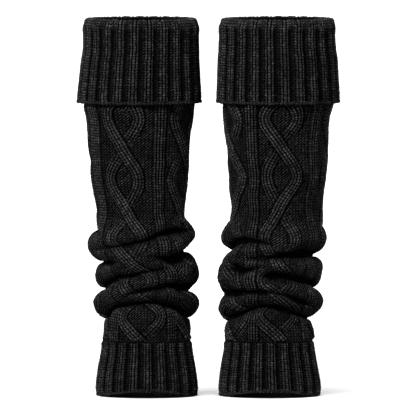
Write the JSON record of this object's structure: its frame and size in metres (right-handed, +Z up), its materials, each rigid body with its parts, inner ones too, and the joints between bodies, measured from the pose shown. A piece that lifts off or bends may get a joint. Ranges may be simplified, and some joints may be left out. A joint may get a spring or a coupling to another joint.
{
  "type": "pair of leg warmers",
  "caption": "Slouched cable-knit leg warmers standing open as hollow tubes, with turned-down ribbed cuffs and ribbed ankle bands.",
  "frame": {"origin": "on the floor, at the middle of the pair's footprint box", "axes": "+Z up along the tubes, from ankle to cuff; -Y is the front, the side that faces the viewer; +X runs from the left tube to the right one as seen from the front"},
  "size_m": [0.2738, 0.1238, 0.3955],
  "materials": {
    "chunky_yarn": "matt near-black charcoal wool-blend yarn, slightly fuzzy, in cables and ribs"
  },
  "bodies": {
    "root": {"left_top_cuff": "chunky_yarn", "left_body": "chunky_yarn", "left_ankle_band": "chunky_yarn", "right_top_cuff": "chunky_yarn", "right_body": "chunky_yarn", "right_ankle_band": "chunky_yarn"}
  },
  "joints": []
}
